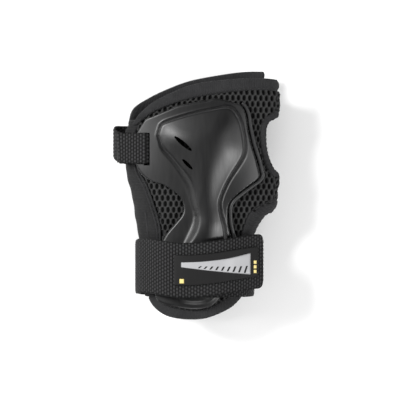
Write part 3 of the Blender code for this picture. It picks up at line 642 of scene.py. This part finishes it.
def stitches(name, path, up, body, long=2.3, gap=1.1, radius=0.27, made=None):
    """A row of short stitches along a path, each one sinking into the cloth at its ends."""
    length = np.r_[0, np.cumsum(np.linalg.norm(np.diff(path, axis=0), axis=1))]
    count = int(length[-1] // (long + gap))
    vertices, faces = [], []
    shape = [(0.0, 0.25, -0.9), (0.15, 0.8, -0.1), (0.5, 1.0, 0.25), (0.85, 0.8, -0.1),
             (1.0, 0.25, -0.9)]
    for k in range(count):
        start = (k + 0.2) * (long + gap)
        at = np.array([start + share * long for share, _, _ in shape])
        place = np.column_stack([np.interp(at, length, path[:, i]) for i in range(3)])
        lift = np.column_stack([np.interp(at, length, up[:, i]) for i in range(3)])
        run = (place[-1] - place[0]) / np.linalg.norm(place[-1] - place[0])
        first = len(vertices)
        for (share, size, height), p, n in zip(shape, place, lift):
            beside = np.cross(run, n)
            for turn in np.linspace(0, 2 * np.pi, 6, endpoint=False):
                vertices.append(p + n * height * radius
                                + radius * size * (beside * math.cos(turn) + n * math.sin(turn)))
        for f in quads(len(shape), 6, wrap=True) + first:
            faces.append(tuple(f))
    return mesh_object(name, vertices, faces, made or THREAD, body)


def webbing_relief(s, t, width):
    """Nubby weave: columns of nubs across the strap, staggered, with a plain selvage at each edge."""
    column = s / WEAVE_COLUMN
    along_column = t / WEAVE_NUB + 0.5 * (np.floor(column) % 2)
    nub = np.abs(np.sin(np.pi * column)) ** 0.8
    nub = nub * (0.25 + 0.75 * np.abs(np.sin(np.pi * along_column)) ** 0.9)
    selvage = ease((width / 2 - np.abs(t)) / 1.4)
    return nub * (0.45 + 0.55 * selvage)


def strap(name, path, mid_y, width, thickness, made, body, spacing=0.41,
          round_end=0.0, round_start=0.0, relief=0.7, slant=0.0):
    """Webbing along a path of (x, z), whose width lies along Y."""
    path = np.asarray(path, float)
    mid_y = np.broadcast_to(mid_y, len(path))
    rough = np.r_[0, np.cumsum(np.linalg.norm(np.diff(path, axis=0), axis=1))]
    smooth = along(np.column_stack([path, mid_y]), even(max(8, int(rough[-1] / spacing))))
    path, mid_y = smooth[:, :2], smooth[:, 2]
    s = np.r_[0, np.cumsum(np.linalg.norm(np.diff(path, axis=0), axis=1))]
    step = np.gradient(path, axis=0)
    step /= np.linalg.norm(step, axis=1)[:, None]
    out = np.column_stack([-step[:, 1], step[:, 0]])
    half = np.full(len(s), width / 2)
    for size, from_end in ((round_end, s[-1] - s), (round_start, s)):
        if size:
            corner = np.clip(1 - from_end / size, 0, 1)
            half -= size * (1 - np.sqrt(1 - corner**2))
    columns = int(width / spacing)
    t = np.linspace(-1, 1, columns + 1)
    bulge = np.clip(1 - np.abs(t) ** 14, 0, 1) ** 0.5
    # the nubs' tops are at the webbing's face, and the hollows sink in from it
    lumps = webbing_relief(s[:, None], t[None] * half[:, None], width)
    outer = thickness / 2 * bulge + relief * (lumps - 1.0) * bulge
    inner = -thickness / 2 * bulge - relief * 0.4 * (lumps - 0.6) * bulge
    offset = np.hstack([outer, inner[:, -2:0:-1]]) + thickness / 2
    y = mid_y[:, None] + np.hstack([t, t[-2:0:-1]])[None] * half[:, None]
    x = path[:, :1] + out[:, :1] * offset
    x = x + slant * (y - mid_y[:, None]) / (width / 2) * ease(1 - s / 6)[:, None]
    z = path[:, 1:] + out[:, 1:] * offset
    # the nub heights also colour the webbing: painted shade in the hollows between nubs and along the
    # flattened selvage, lighter nub tops
    shade = np.hstack([lumps, lumps[:, -2:0:-1]])
    rows, around = x.shape
    faces = [tuple(f) for f in quads(rows, around, wrap=True)]
    faces += [tuple(range(around)), tuple(range((rows - 1) * around, rows * around))]
    obj = mesh_object(name, np.dstack([x, y, z]).reshape(-1, 3), faces, made, None, shade)
    bm = bmesh.new()
    bm.from_mesh(obj.data)
    bmesh.ops.recalc_face_normals(bm, faces=bm.faces)
    bm.to_mesh(obj.data)
    bm.free()
    if body:
        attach(obj, body)
    return obj


def hole_pattern(across, up):
    """The air mesh's upright oval holes, in staggered rows: 0 in a hole, 1 on the ribs between. Used as
    colour too: painted shade in the holes and a painted highlight along the rib middles.
    """
    row = np.floor(up / HOLE_ROW)
    x = (across / HOLE_PITCH + 0.5 * (row % 2)) % 1 - 0.5
    y = (up / HOLE_ROW) % 1 - 0.5
    oval = np.hypot(x * HOLE_PITCH / 1.05, y * HOLE_ROW / 1.95)
    # the last factor lifts the middle of each rib; as colour it is a painted highlight on the rib crests
    return ease((oval - 0.72) / 0.4) * (0.7 + 0.3 * ease((oval - 1.0) / 0.8))


# ---- Pieces ----


def mesh_side(name, plan, height, thickness, outward, made, node_name, holes):
    """One face of the glove: a dense outer cloth on a smooth lining."""
    cloth = raised(plan, height)
    if outward:
        cloth = cloth[:, ::-1]
    if holes:
        pattern = hole_pattern(cloth[..., 0], cloth[..., 1])
        lift = (pattern - 1) * 1.5
    else:
        pattern = np.ones(cloth.shape[:2])
        lift = 0.25 * np.sin(cloth[..., 0] * 0.35 + 1.3 * np.sin(cloth[..., 1] * 0.12)) - 0.25
    face = skin(name, cloth, lift, pattern, made, "sleeve")
    coarse = cloth[::6, ::6]
    backing = coarse - normals(coarse) * 1.7
    lining = slab(name + "_lining", backing, thickness - 1.8, LINING, "sleeve")
    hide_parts(node_name)


def build_glove_faces():
    left = inset(along(SEAM_DORSAL, even(48)), -SEAM_GAP / 2)
    bottom = inset(along(CUFF_INNER, even(48)), SEAM_GAP / 2)
    top = inset(along(FINGER_INNER_DORSAL, even(48)), -SEAM_GAP / 2)
    right = along(THUMB_SIDE_DORSAL, even(96))
    plan = joined_patch(left, right, bottom, top, 210, 330)
    mesh_side("dorsal_air_mesh", plan, dorsal_z, FABRIC, False, MESH,
              "dorsal_mesh_panel", True)
    left = inset(along(SEAM_PALM, even(48)), -SEAM_GAP / 2)
    top = inset(along(FINGER_INNER_PALM, even(48)), -SEAM_GAP / 2)
    right = along(THUMB_SIDE_PALM, even(96))
    plan = joined_patch(left, right, bottom, top, 120, 200)
    mesh_side("palm_cloth", plan, palm_z, FABRIC, True, PALM, "palm_panel", False)


def build_sides():
    points = side_points(inset(along(SEAM_DORSAL + [(-39.8, 52.4)], even(48)), SEAM_GAP / 2),
                         inset(along(SEAM_PALM + [(-39.2, 53.4)], even(48)), SEAM_GAP / 2),
                         -1, 70, 260)
    points[..., 0] += 1.8 * ease((points[..., 1] - 44) / 6)
    folds = 0.25 * np.sin(points[..., 1] * 0.21 + points[..., 2] * 0.16)
    folds += 0.15 * np.sin(points[..., 1] * 0.53 - points[..., 2] * 0.3)
    face = slab("ulnar_side_cloth", points + normals(points) * 0.25, FABRIC, SIDE,
                "sleeve", folds)
    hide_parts("ulnar_side_panel")
    for name, low, high in (("thumb_gusset", -5.5, 14.5), ("index_web_gusset", 57.5, 73.6)):
        edges = [stretch(curve, low, high) + (0.2, 0)
                 for curve in (THUMB_SIDE_DORSAL, THUMB_SIDE_PALM)]
        points = side_points(*edges, 1, 60, 36)
        points[..., 0] -= 1.6 * np.exp(-(((points[..., 1] - 1) / 6) ** 2))
        up, side = travel(points, 0), travel(points, 1)
        pattern = hole_pattern(up, side)
        lift = (pattern - 1) * 0.8 + 0.2 * np.sin(up * 0.9 + 0.25 * side)
        face = skin(name + "_mesh", points, lift, pattern, MESH, "sleeve")
        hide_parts(name)
        back = slab(name + "_lining", points[::3, ::3] - normals(points[::3, ::3]) * 1.2, 1.6,
                    LINING, "sleeve")


def seam_ridge(name, curve, height, offset, radius, lift):
    path = inset(along(curve, even(160)), offset)
    path = np.column_stack([path, height(*path.T) + lift])
    across, up = frame_along(path, np.array([[0, 0, 1.0]]))
    sweep(name, path, across, up, radius, radius, KNIT, "sleeve", 10, 2.0)


def build_seams():
    """The double-ridged seam beside the mesh, a shorter one by the wrist, and the edge stitching."""
    for number, offset in enumerate((0.2, 2.2), 1):
        seam_ridge(f"ulnar_seam_ridge_{number}", SEAM_DORSAL[2:-2], dorsal_z, offset, 0.75, 0.1)
    middle = inset(along(SEAM_DORSAL[2:-2], even(160)), 1.2)
    middle = np.column_stack([middle, dorsal_z(*middle.T) + 0.15])
    stitches("ulnar_seam_stitches", middle, np.tile([[0, 0, 1.0]], (161, 1)), "sleeve")
    seam_ridge("short_wrist_seam", SHORT_SEAM, dorsal_z, 0.0, 0.8, 0.0)
    edge = [(tube_ulnar(y) + 3.0, y) for y in np.linspace(-31, 46, 60)]
    path = np.array(edge)
    path = np.column_stack([path, dorsal_z(*path.T) - 0.35])
    across, up = frame_along(path, np.array([[-0.6, 0, 0.8]]))
    stitches("ulnar_edge_stitches", path, up, "sleeve")


def build_bindings():
    bands = (
        ("finger_binding_dorsal", FINGER_OUTER_DORSAL,
         inset(along(FINGER_INNER_DORSAL, even(60)), -OVERLAP), dorsal_z, 1),
        ("finger_binding_palm", inset(along(FINGER_OUTER_PALM, even(60)), 0.7),
         inset(along(FINGER_INNER_PALM, even(60)), -OVERLAP), palm_z, -1),
        ("cuff_binding_dorsal", CUFF_OUTER, inset(along(CUFF_INNER, even(60)), 5 * OVERLAP),
         dorsal_z, 1),
        ("cuff_binding_palm", CUFF_OUTER, inset(along(CUFF_INNER, even(60)), OVERLAP), palm_z, -1),
    )
    for name, outer, inner, height, face in bands:
        line, up = binding_band(name + "_fold", outer, inner, height, face, KNIT)
        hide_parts(name)
        stitches(name + "_stitches", line, up, "sleeve")
    for where, face, curve, height in (
        ("dorsal", 1, THUMB_SIDE_DORSAL, dorsal_z), ("palm", -1, THUMB_SIDE_PALM, palm_z)
    ):
        path = inset(along(stretch(curve, 12.0, 60.5), even(120)), -1.6)
        path[:, 0] = np.minimum(path[:, 0], THUMB_ROLL_REACH)
        path = np.column_stack([path, height(*path.T) - face * FABRIC / 2])
        across, up = frame_along(path, np.array([[0, 0, 1.0]]))
        length = np.r_[0, np.cumsum(np.linalg.norm(np.diff(path, axis=0), axis=1))]
        pucker = 1 + 0.06 * np.sin(length * 2 * np.pi / 3.2)
        roll = sweep(f"thumb_hole_{where}_roll", path, across, up, 2.4 * pucker, 1.8 * pucker,
                     KNIT, "sleeve", 18, 2.3)
        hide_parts(f"thumb_hole_binding_{where}")
        line = path - across * 0.9 + up * face * 1.62
        stitches(f"thumb_hole_{where}_stitches", line, up * face, "sleeve")
        inner = inset(along(stretch(curve, -71.4, -1.0), even(60)), OVERLAP)
        points = side_points(inner, SLIT_EDGE, 1, 22, 150, (face, face))
        flat = travel(points, 0)
        fold = slab(f"wrist_slit_{where}_fold", points + normals(points) * 0.3, BINDING, KNIT,
                    "sleeve", 0.15 * np.sin(flat * 1.7))
        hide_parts(f"wrist_slit_binding_{where}")


def inflate(obj, pressure, most):
    """Puffs a closed pad up with a short cloth simulation, moving no point further than most."""
    mesh = obj.data
    remesh = obj.modifiers.new("remesh", "REMESH")
    remesh.mode = "VOXEL"
    remesh.voxel_size = 2.6 * MM
    bpy.context.view_layer.update()
    done = bpy.data.meshes.new_from_object(obj.evaluated_get(bpy.context.evaluated_depsgraph_get()))
    obj.modifiers.clear()
    obj.data = done
    before = np.array([v.co for v in done.vertices])
    cloth = obj.modifiers.new("cloth", "CLOTH")
    cloth.settings.use_pressure = True
    cloth.settings.uniform_pressure_force = pressure
    cloth.settings.effector_weights.gravity = 0
    cloth.settings.quality = 5
    scene = bpy.context.scene
    for number in range(1, 15):
        scene.frame_set(number)
    swollen = bpy.data.meshes.new_from_object(obj.evaluated_get(bpy.context.evaluated_depsgraph_get()))
    after = np.array([v.co for v in swollen.vertices])
    obj.modifiers.clear()
    scene.frame_set(1)
    move = after - before
    size = np.linalg.norm(move, axis=1)
    move *= (np.minimum(size, most * MM) / np.maximum(size, 1e-9))[:, None]
    for vertex, place in zip(done.vertices, before + move):
        vertex.co = place
    done.materials.clear()
    done.materials.append(mesh.materials[0])
    done.shade_smooth()
    smooth = obj.modifiers.new("rounding", "SUBSURF")
    smooth.levels = smooth.render_levels = 1


def build_pads():
    """The foam pads inside the glove."""
    plan = plan_patch(FOAM_ULNAR, FOAM_THUMB, FOAM_CUFF, FOAM_FINGER, 40, 90)
    for name, height, face in (("dorsal_foam_pad", dorsal_z, 1), ("palm_foam_pad", palm_z, -1)):
        form = raised(plan, lambda x, y: height(x, y) - face * (FABRIC + 2 * GAP + 0.6))
        if face < 0:
            form = form[:, ::-1]
        pad = slab(name + "_cushion", form, FOAM - 1.2, LINING, None)
        inflate(pad, 4.0, 0.9)
        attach(pad, "sleeve")
        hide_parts(name)


def rotated_prism(centre, length, width, turn, corners):
    bm = bmesh.new()
    bmesh.ops.create_cone(bm, cap_ends=True, segments=corners, radius1=0.5, radius2=0.5, depth=1)
    if corners == 4:
        bmesh.ops.rotate(bm, verts=bm.verts, matrix=Matrix.Rotation(math.radians(45), 3, "Z"))
        bmesh.ops.scale(bm, verts=bm.verts, vec=(math.sqrt(2), math.sqrt(2), 1))
    bmesh.ops.scale(bm, verts=bm.verts, vec=(length * MM, width * MM, 0.02))
    bmesh.ops.rotate(bm, verts=bm.verts, matrix=Matrix.Rotation(math.radians(turn), 3, "Z"))
    bmesh.ops.translate(bm, verts=bm.verts, vec=[c * MM for c in centre])
    mesh = bpy.data.meshes.new("cutter")
    bm.to_mesh(mesh)
    bm.free()
    obj = bpy.data.objects.new("cutter", mesh)
    bpy.context.scene.collection.objects.link(obj)
    return obj


def carved(obj, cutters):
    """The object with its cutters taken out of it, as a plain mesh."""
    for number, cutter in enumerate(cutters):
        boolean = obj.modifiers.new(f"cut_{number}", "BOOLEAN")
        boolean.object = cutter
    bpy.context.view_layer.update()
    graph = bpy.context.evaluated_depsgraph_get()
    obj.data = bpy.data.meshes.new_from_object(obj.evaluated_get(graph))
    obj.modifiers.clear()
    for cutter in cutters:
        bpy.data.objects.remove(cutter)
    obj.data.shade_smooth()
    obj.data.set_sharp_from_angle(angle=math.radians(40))


def build_shells():
    rim = along(SHELL_THUMB, even(120))
    edge = inset(rim, 2.5)
    top = np.vstack([SHELL_FINGER[:-3], edge[-1:]])
    bottom = np.vstack([SHELL_CUFF[:-2], edge[:1]])
    plan = plan_patch(SHELL_ULNAR, edge, bottom, top, 120, 200)
    points = raised(plan, shell_z)
    points[..., 2] -= 0.7 * (1 - ease(border_distance(points) / 1.8))
    shell = slab("dorsal_shell_moulding", points, SHELL, SHELL_BLACK, None)
    cutters = [rotated_prism((SLOT_X, HAND_STRAP_Y, 54), SLOT_WIDTH, HAND_STRAP_WIDTH + 1.2, 0, 4)]
    for (x, y), turn, length, width in VENTS:
        centre = (x, y, float(shell_z(np.array(x), np.array(y))))
        cutters.append(rotated_prism(centre, length, width, turn, 40))
    carved(shell, cutters)
    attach(shell, "sleeve")
    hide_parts("dorsal_shell")
    path = inset(rim, 1.0)
    path = np.column_stack([path, shell_z(*path.T) - SHELL / 2 + 0.1])
    path = along(path, even(300))
    across, up = frame_along(path, np.array([[0, 0, 1.0]]))
    cord = sweep("shell_rim_piping", path, across, up, 1.15, 1.05, RIM, "sleeve", 14, 2.0)
    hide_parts("dorsal_shell_piping")
    groove = inset(rim, 3.4)
    line = np.column_stack([groove, shell_z(*groove.T) + 0.05])
    line = along(line[1:-1], even(300))
    across, up = frame_along(line, np.array([[0, 0, 1.0]]))
    stitches("shell_edge_stitches", line, up, "sleeve", 2.0, 1.0, 0.24)
    plan = plan_patch(PALM_SHELL_ULNAR, PALM_SHELL_THUMB, PALM_SHELL_CUFF, PALM_SHELL_FINGER, 90, 150)
    points = raised(plan, palm_shell_z)[:, ::-1]
    palm = slab("palm_shell_moulding", points, SHELL, SHELL_BLACK, "sleeve")
    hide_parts("palm_shell")


def build_wrist_strap():
    """The webbing that goes round the cuff, bending at its two folds, with its tapes."""
    first = ring(np.linspace(86, -92, 60), 0)
    fixed = strap("wrist_webbing_fixed", first, STRAP_Y, WRIST_STRAP_WIDTH, WEBBING, WOVEN,
                  "sleeve", round_start=3.0)
    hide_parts("wrist_strap_base")
    low = ring(np.linspace(-90, -180, 40), 0)
    lower = strap("wrist_webbing_lower", low, STRAP_Y + 1.5 * ease((even(39) - 0.6) / 0.4),
                  WRIST_STRAP_WIDTH, WEBBING, WOVEN, None)
    turns = np.linspace(180, 55, 60)
    lift = LAYERS * ease((148 - turns) / (148 - 95))
    tab = np.vstack([ring([turn], offset) for turn, offset in zip(turns, lift)])
    slope = (tab[-1] - tab[-2]) / np.linalg.norm(tab[-1] - tab[-2])
    tab = np.vstack([tab] + [tab[-1:] + slope * step for step in (7.0, 14.0, 21.0)])
    side_rise = 1.5 + 1.5 * ease((180 - turns) / 32)
    side_rise = np.r_[side_rise, [3.0] * 3]
    tilt = (STRAP_Y + side_rise - 3.0 * ease((tab[:, 0] + 36) / 26)
            + 6.5 * ease((tab[:, 0] + 8) / 62))
    upper = strap("wrist_webbing_tab", tab, tilt, WRIST_STRAP_WIDTH, WEBBING, WOVEN,
                  None, round_end=4.0)
    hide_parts("wrist_strap_side")
    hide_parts("wrist_strap_tab")
    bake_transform(lower)
    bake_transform(upper)
    tape = np.linspace(84, 52, 30)
    loop = strap("wrist_loop_pad", ring(tape, WEBBING + GAP), STRAP_Y, 30.0, TAPE, FUZZ,
                 "sleeve", relief=0.1)
    hook = strap("wrist_hook_pad", ring(tape, WEBBING + 2 * GAP + TAPE), STRAP_Y + 1.0, 30.0, TAPE,
                 FUZZ, "wrist_tab", relief=0.1)
    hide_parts("wrist_loop_tape")
    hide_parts("wrist_hook_tape")
    return tab, tilt


def box_plan(left, right, low, high, lean=0.0, steps=(6, 6)):
    """A small four-sided patch in plan, whose upper edge leans this far to the right."""
    lower = [(left, low), (right, low)]
    upper = [(left + lean, high), (right + lean, high)]
    return plan_patch([lower[0], upper[0]], [lower[1], upper[1]], lower, upper, *steps)


def build_badge(tab, tilt):
    """The coated patch on the strap, with a silver wedge, slanted ticks and small yellow marks."""
    out = WEBBING + 0.25
    step = np.gradient(tab, axis=0)
    step /= np.linalg.norm(step, axis=1)[:, None]
    face = tab + out * np.column_stack([-step[:, 1], step[:, 0]])
    keep = slice(int(np.argmax(face[:, 0] > -15.8)), len(face))
    order = face[keep, 0]

    def height(x):
        return np.interp(x, order, face[keep, 1])

    def print_on(name, plan, made, lift):
        points = raised(plan, lambda x, y: height(x) + lift)
        slab(name, points, 0.3, made, "wrist_tab")

    x = np.linspace(-15.3, 43.3, 120)
    half = 10.6
    t = np.linspace(-1, 1, 40)
    middle = np.interp(x, order, tilt[keep])
    points = np.dstack([np.tile(x, (40, 1)),
                        middle[None] + half * t[:, None],
                        np.tile(height(x) + 0.75, (40, 1))])
    patch = slab("badge_patch", points, 0.7, COATED, "wrist_tab")
    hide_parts("wrist_strap_badge")
    left = [WEDGE_BOTTOM[0], WEDGE_TOP[0]]
    right = [WEDGE_BOTTOM[-1], WEDGE_TOP[-1]]
    wedge = plan_patch(left, right, WEDGE_BOTTOM, WEDGE_TOP, 60, 16)
    print_on("silver_wedge", wedge, SILVER, 0.95)
    tick_width = 1.3
    tick_lean = 1.6
    for number, x0 in enumerate(np.linspace(1, 33, 9), 1):
        low = np.interp(x0, *np.array(WEDGE_BOTTOM).T)
        high = low + 0.42 * (np.interp(x0, *np.array(WEDGE_TOP).T) - low)
        plan = box_plan(x0, x0 + tick_width, low + 0.8, high, tick_lean, (4, 8))
        print_on(f"wedge_tick_{number}", plan, COATED, 1.15)
    marks = [(-10, -59.4, 1.6, 1.6)] + [(41.0, y, 1.0, 1.2) for y in (-46.6, -49.8, -53.0)]
    for number, (cx, cy, w, h) in enumerate(marks, 1):
        plan = box_plan(cx - w, cx + w, cy - h, cy + h)
        print_on(f"yellow_mark_{number}", plan, YELLOW, 1.15)


def build_hand_strap():
    """The narrow strap: out of the palm, round the little-finger side, up the slot and back."""
    y = HAND_STRAP_Y
    reach = np.linspace(-HAND_STRAP_WIDTH / 2, HAND_STRAP_WIDTH / 2, 7)

    def over(height, x, mid):
        return float(height(np.full(7, x), mid + reach).max())

    y_palm = y + PALM_END_SHIFT
    rise_x = SLOT_X - SLOT_WIDTH / 2 + GAP + WEBBING
    shape = [(x, float(palm_z(np.full(7, x), y_palm + reach).min()) - GAP - WEBBING) for x in (-33, -38)]
    middle, half, axis = tube(y)
    shape += [(middle - half + across_by, axis + up_by) for across_by, up_by in HAND_LOOP]
    flat_x = np.linspace(-44.0, rise_x - 1.0, 5)
    shape += [(x, over(dorsal_z, x, y) + GAP) for x in flat_x]
    path = along(np.array(shape), even(34))
    flap_x = np.linspace(rise_x - 1.0, FLAP_END, 12)
    flap_z = np.array([over(shell_z, x, y) for x in flap_x]) + GAP
    bend = path[-1, 1]
    top = flap_z[0]
    path = np.vstack([path, (rise_x - 0.3, bend + 0.3), (rise_x, bend + 1.0), (rise_x, top - 2.0)])
    share = ease((even(len(path) - 1) - 0.38) / 0.38)
    loop = strap("hand_webbing_loop", path, y_palm + (y - y_palm) * share, HAND_STRAP_WIDTH,
                 WEBBING, WOVEN, "sleeve")
    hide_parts("hand_strap_base")
    free = flap_x < -44.5
    flap_z[free] = flap_z[~free][-1] + (flap_x[free] - flap_x[~free][-1]) * 0.42
    fold = [(rise_x, top - 2.5), (rise_x, top - 1.0), (rise_x - 0.1, top - 0.2)]
    flap = np.vstack([np.column_stack([flap_x, flap_z])[::-1], fold[::-1]])
    piece = strap("hand_webbing_flap", flap, y + 0.7, HAND_STRAP_WIDTH, WEBBING, WOVEN,
                  None, round_start=1.2, slant=-0.8)
    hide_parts("hand_strap_flap")
    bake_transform(piece)
    tape = np.column_stack([flap_x, flap_z])[::-1][:5]
    tape = tape - np.array([0.35, 1.0]) * (GAP + TAPE)
    pad = strap("hand_hook_pad", tape, y, HAND_STRAP_WIDTH - 3, TAPE, FUZZ,
                "hand_flap", relief=0.1)
    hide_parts("hand_hook_tape")


# ---- Stage ----


def build_stage():
    floor = bpy.data.meshes.new("floor")
    bm = bmesh.new()
    bmesh.ops.create_grid(bm, x_segments=1, y_segments=1, size=3)
    bm.to_mesh(floor)
    bm.free()
    plane = bpy.data.objects.new("floor", floor)
    floor.materials.append(material("floor_white", (0.93, 0.93, 0.93), 0.9))
    bpy.context.scene.collection.objects.link(plane)
    world = bpy.context.scene.world or bpy.data.worlds.new("world")
    bpy.context.scene.world = world
    world.use_nodes = True
    background = world.node_tree.nodes["Background"]
    background.inputs["Color"].default_value = (1, 1, 1, 1)
    background.inputs["Strength"].default_value = 0.50
    world.cycles_visibility.glossy = False
    for name, place, size, power in (
        ("left", (-0.70, 0.36, 0.90), 0.30, 12.0),
        ("low_left", (-1.05, 0.1, 0.5), 0.26, 3.2),
        ("right", (0.74, -0.27, 0.84), 0.28, 6.2),
        ("bottom", (0.0, -1.0, 0.65), 0.34, 2.6),
    ):
        lamp = bpy.data.lights.new(name, "AREA")
        lamp.size = size
        lamp.energy = power
        obj = bpy.data.objects.new(name, lamp)
        obj.location = place
        obj.rotation_euler = (-obj.location).to_track_quat("-Z", "Y").to_euler()
        bpy.context.scene.collection.objects.link(obj)
    camera = bpy.data.cameras.new("camera")
    camera.lens = 200
    obj = bpy.data.objects.new("camera", camera)
    obj.location = (0.0026, -0.0034, 0.28 / 2 / math.tan(camera.angle / 2) + 0.045)
    bpy.context.scene.collection.objects.link(obj)
    bpy.context.scene.camera = obj
    bpy.context.scene.view_settings.view_transform = "Standard"


build_glove_faces()
build_sides()
build_seams()
build_bindings()
build_pads()
build_shells()
build_badge(*build_wrist_strap())
build_hand_strap()
build_stage()
